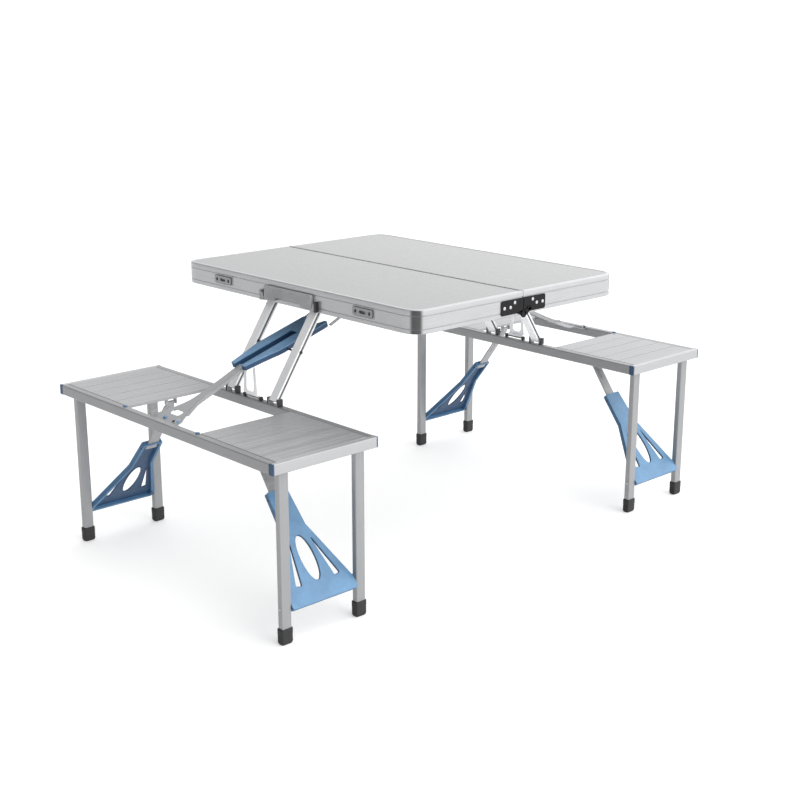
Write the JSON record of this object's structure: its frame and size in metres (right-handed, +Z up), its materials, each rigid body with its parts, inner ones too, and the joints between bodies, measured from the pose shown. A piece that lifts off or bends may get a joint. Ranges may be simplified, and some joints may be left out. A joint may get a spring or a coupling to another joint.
{
  "type": "folding picnic table",
  "caption": "Folding aluminium picnic table whose top closes like a suitcase, with slatted seats joined on by arms, blue braces and folding legs.",
  "frame": {"origin": "on the floor, under the middle of the table top", "axes": "+X along the table's centre hinge, +Y across it towards side b's bench, +Z up"},
  "size_m": [0.8642, 1.43, 0.66],
  "materials": {
    "frame_aluminium": "polished",
    "table_panel": "gloss laminate",
    "rail_aluminium": "satin",
    "end_bar_aluminium": "satin",
    "seat_aluminium": "brushed",
    "blue_plastic": "moulded",
    "pressed_aluminium": "satin",
    "leg_aluminium": "satin",
    "black_rubber": "matt",
    "arm_aluminium": "satin",
    "black_steel": "semi-gloss",
    "handle_plastic": "moulded",
    "latch_metal": "satin"
  },
  "bodies": {
    "table_b": {"table_frame_b": "frame_aluminium", "table_panel_b": "table_panel", "hinge_leaf_b_near": "black_steel", "hinge_leaf_b_far": "black_steel"},
    "table_a": {"table_frame_a": "frame_aluminium", "table_panel_a": "table_panel", "hinge_leaf_a_near": "black_steel", "hinge_leaf_a_far": "black_steel"},
    "handle": {"carry_handle": "handle_plastic"},
    "latch_near": {"latch_near": "latch_metal"},
    "latch_far": {"latch_far": "latch_metal"},
    "arms_a": {"arm_a_near": "arm_aluminium", "arm_a_far": "arm_aluminium"},
    "bench_a": {"rail_inner_a": "rail_aluminium", "rail_outer_a": "rail_aluminium", "end_bar_a_near": "end_bar_aluminium", "seat_a_near": "seat_aluminium", "end_bar_a_far": "end_bar_aluminium", "seat_a_far": "seat_aluminium"},
    "centre_brace_a": {"centre_brace_a": "blue_plastic"},
    "top_link_a": {"top_link_a": "pressed_aluminium"},
    "fork_link_a": {"fork_link_a": "pressed_aluminium"},
    "prop_a": {"prop_a": "pressed_aluminium"},
    "legs_a_near": {"leg_a_near_outer": "leg_aluminium", "foot_a_near_outer": "black_rubber", "leg_a_near_inner": "leg_aluminium", "foot_a_near_inner": "black_rubber"},
    "leg_brace_a_near": {"leg_brace_a_near": "blue_plastic"},
    "leg_link_a_near": {"leg_link_a_near": "pressed_aluminium"},
    "legs_a_far": {"leg_a_far_outer": "leg_aluminium", "foot_a_far_outer": "black_rubber", "leg_a_far_inner": "leg_aluminium", "foot_a_far_inner": "black_rubber"},
    "leg_brace_a_far": {"leg_brace_a_far": "blue_plastic"},
    "leg_link_a_far": {"leg_link_a_far": "pressed_aluminium"},
    "arms_b": {"arm_b_near": "arm_aluminium", "arm_b_far": "arm_aluminium"},
    "bench_b": {"rail_inner_b": "rail_aluminium", "rail_outer_b": "rail_aluminium", "end_bar_b_near": "end_bar_aluminium", "seat_b_near": "seat_aluminium", "end_bar_b_far": "end_bar_aluminium", "seat_b_far": "seat_aluminium"},
    "centre_brace_b": {"centre_brace_b": "blue_plastic"},
    "top_link_b": {"top_link_b": "pressed_aluminium"},
    "fork_link_b": {"fork_link_b": "pressed_aluminium"},
    "prop_b": {"prop_b": "pressed_aluminium"},
    "legs_b_near": {"leg_b_near_outer": "leg_aluminium", "foot_b_near_outer": "black_rubber", "leg_b_near_inner": "leg_aluminium", "foot_b_near_inner": "black_rubber"},
    "leg_brace_b_near": {"leg_brace_b_near": "blue_plastic"},
    "leg_link_b_near": {"leg_link_b_near": "pressed_aluminium"},
    "legs_b_far": {"leg_b_far_outer": "leg_aluminium", "foot_b_far_outer": "black_rubber", "leg_b_far_inner": "leg_aluminium", "foot_b_far_inner": "black_rubber"},
    "leg_brace_b_far": {"leg_brace_b_far": "blue_plastic"},
    "leg_link_b_far": {"leg_link_b_far": "pressed_aluminium"}
  },
  "joints": [
    {"name": "table_fold", "type": "hinge", "parent": "table_b", "child": "table_a", "pos_m": [0, 0, 0.607], "axis": [1, 0, 0], "range_deg": [0, 60]},
    {"name": "bench_a_fold", "type": "hinge", "parent": "table_a", "child": "arms_a", "pos_m": [0, -0.296, 0.6442], "axis": [1, 0, 0], "range_deg": [0, 123.49]},
    {"name": "bench_a_level", "type": "hinge", "parent": "arms_a", "child": "bench_a", "pos_m": [0, -0.447, 0.416], "axis": [1, 0, 0], "range_deg": [-123.5, 0]},
    {"name": "centre_brace_a_turn", "type": "hinge", "parent": "arms_a", "child": "centre_brace_a", "pos_m": [0, -0.37877, 0.51911], "axis": [1, 0, 0], "range_deg": [0, 39.42]},
    {"name": "top_link_a_turn", "type": "hinge", "parent": "table_a", "child": "top_link_a", "pos_m": [0, -0.04, 0.6515], "axis": [1, 0, 0], "range_deg": [-21.91, 0]},
    {"name": "fork_link_a_turn", "type": "hinge", "parent": "bench_a", "child": "fork_link_a", "pos_m": [0, -0.692, 0.4005], "axis": [1, 0, 0], "range_deg": [-18.56, 0]},
    {"name": "prop_a_turn", "type": "hinge", "parent": "bench_a", "child": "prop_a", "pos_m": [0, -0.449, 0.4102], "axis": [1, 0, 0], "range_deg": [0, 90.01]},
    {"name": "legs_a_near_fold", "type": "hinge", "parent": "bench_a", "child": "legs_a_near", "pos_m": [0.3955, -0.575, 0.3885], "axis": [0, 1, 0], "range_deg": [0, 90.01]},
    {"name": "leg_brace_a_near_turn", "type": "hinge", "parent": "legs_a_near", "child": "leg_brace_a_near", "pos_m": [0.3955, -0.575, 0.08], "axis": [0, 1, 0], "range_deg": [0, 39.81]},
    {"name": "leg_link_a_near_turn", "type": "hinge", "parent": "bench_a", "child": "leg_link_a_near", "pos_m": [0.152, -0.575, 0.3885], "axis": [0, 1, 0], "range_deg": [-53.84, 0]},
    {"name": "legs_a_far_fold", "type": "hinge", "parent": "bench_a", "child": "legs_a_far", "pos_m": [-0.3955, -0.575, 0.3885], "axis": [0, -1, 0], "range_deg": [0, 90.01]},
    {"name": "leg_brace_a_far_turn", "type": "hinge", "parent": "legs_a_far", "child": "leg_brace_a_far", "pos_m": [-0.3955, -0.575, 0.08], "axis": [0, -1, 0], "range_deg": [0, 39.81]},
    {"name": "leg_link_a_far_turn", "type": "hinge", "parent": "bench_a", "child": "leg_link_a_far", "pos_m": [-0.152, -0.575, 0.3885], "axis": [0, -1, 0], "range_deg": [-53.84, 0]},
    {"name": "bench_b_fold", "type": "hinge", "parent": "table_b", "child": "arms_b", "pos_m": [0, 0.296, 0.6442], "axis": [-1, 0, 0], "range_deg": [0, 123.49]},
    {"name": "bench_b_level", "type": "hinge", "parent": "arms_b", "child": "bench_b", "pos_m": [0, 0.447, 0.416], "axis": [-1, 0, 0], "range_deg": [-123.5, 0]},
    {"name": "centre_brace_b_turn", "type": "hinge", "parent": "arms_b", "child": "centre_brace_b", "pos_m": [0, 0.37877, 0.51911], "axis": [-1, 0, 0], "range_deg": [0, 39.42]},
    {"name": "top_link_b_turn", "type": "hinge", "parent": "table_b", "child": "top_link_b", "pos_m": [0, 0.04, 0.6515], "axis": [-1, 0, 0], "range_deg": [-21.91, 0]},
    {"name": "fork_link_b_turn", "type": "hinge", "parent": "bench_b", "child": "fork_link_b", "pos_m": [0, 0.692, 0.4005], "axis": [-1, 0, 0], "range_deg": [-18.56, 0]},
    {"name": "prop_b_turn", "type": "hinge", "parent": "bench_b", "child": "prop_b", "pos_m": [0, 0.449, 0.4102], "axis": [-1, 0, 0], "range_deg": [0, 90.01]},
    {"name": "legs_b_near_fold", "type": "hinge", "parent": "bench_b", "child": "legs_b_near", "pos_m": [0.3955, 0.575, 0.3885], "axis": [0, 1, 0], "range_deg": [0, 90.01]},
    {"name": "leg_brace_b_near_turn", "type": "hinge", "parent": "legs_b_near", "child": "leg_brace_b_near", "pos_m": [0.3955, 0.575, 0.08], "axis": [0, 1, 0], "range_deg": [0, 39.81]},
    {"name": "leg_link_b_near_turn", "type": "hinge", "parent": "bench_b", "child": "leg_link_b_near", "pos_m": [0.152, 0.575, 0.3885], "axis": [0, 1, 0], "range_deg": [-53.84, 0]},
    {"name": "legs_b_far_fold", "type": "hinge", "parent": "bench_b", "child": "legs_b_far", "pos_m": [-0.3955, 0.575, 0.3885], "axis": [0, -1, 0], "range_deg": [0, 90.01]},
    {"name": "leg_brace_b_far_turn", "type": "hinge", "parent": "legs_b_far", "child": "leg_brace_b_far", "pos_m": [-0.3955, 0.575, 0.08], "axis": [0, -1, 0], "range_deg": [0, 39.81]},
    {"name": "leg_link_b_far_turn", "type": "hinge", "parent": "bench_b", "child": "leg_link_b_far", "pos_m": [-0.152, 0.575, 0.3885], "axis": [0, -1, 0], "range_deg": [-53.84, 0]},
    {"name": "handle_swing", "type": "hinge", "parent": "table_a", "child": "handle", "pos_m": [0, -0.3398, 0.616], "axis": [1, 0, 0], "range_deg": [0, 100]},
    {"name": "latch_near_flip", "type": "hinge", "parent": "table_a", "child": "latch_near", "pos_m": [0.26, -0.33735, 0.6245], "axis": [1, 0, 0], "range_deg": [0, 120]},
    {"name": "latch_far_flip", "type": "hinge", "parent": "table_a", "child": "latch_far", "pos_m": [-0.26, -0.33735, 0.6245], "axis": [1, 0, 0], "range_deg": [0, 120]}
  ],
  "couplings": [
    {"joint": "bench_a_level", "follows": "bench_a_fold", "ratio": -1},
    {"joint": "centre_brace_a_turn", "follows": "bench_a_fold", "ratio": 0.31911},
    {"joint": "top_link_a_turn", "follows": "bench_a_fold", "ratio": -0.1773},
    {"joint": "fork_link_a_turn", "follows": "bench_a_fold", "ratio": -0.15021},
    {"joint": "prop_a_turn", "follows": "bench_a_fold", "ratio": 0.72879},
    {"joint": "legs_a_near_fold", "follows": "bench_a_fold", "ratio": 0.72879},
    {"joint": "leg_brace_a_near_turn", "follows": "bench_a_fold", "ratio": 0.32229},
    {"joint": "leg_link_a_near_turn", "follows": "bench_a_fold", "ratio": -0.43592},
    {"joint": "legs_a_far_fold", "follows": "bench_a_fold", "ratio": 0.72879},
    {"joint": "leg_brace_a_far_turn", "follows": "bench_a_fold", "ratio": 0.32229},
    {"joint": "leg_link_a_far_turn", "follows": "bench_a_fold", "ratio": -0.43592},
    {"joint": "bench_b_level", "follows": "bench_b_fold", "ratio": -1},
    {"joint": "centre_brace_b_turn", "follows": "bench_b_fold", "ratio": 0.31911},
    {"joint": "top_link_b_turn", "follows": "bench_b_fold", "ratio": -0.1773},
    {"joint": "fork_link_b_turn", "follows": "bench_b_fold", "ratio": -0.15021},
    {"joint": "prop_b_turn", "follows": "bench_b_fold", "ratio": 0.72879},
    {"joint": "legs_b_near_fold", "follows": "bench_b_fold", "ratio": 0.72879},
    {"joint": "leg_brace_b_near_turn", "follows": "bench_b_fold", "ratio": 0.32229},
    {"joint": "leg_link_b_near_turn", "follows": "bench_b_fold", "ratio": -0.43592},
    {"joint": "legs_b_far_fold", "follows": "bench_b_fold", "ratio": 0.72879},
    {"joint": "leg_brace_b_far_turn", "follows": "bench_b_fold", "ratio": 0.32229},
    {"joint": "leg_link_b_far_turn", "follows": "bench_b_fold", "ratio": -0.43592}
  ]
}
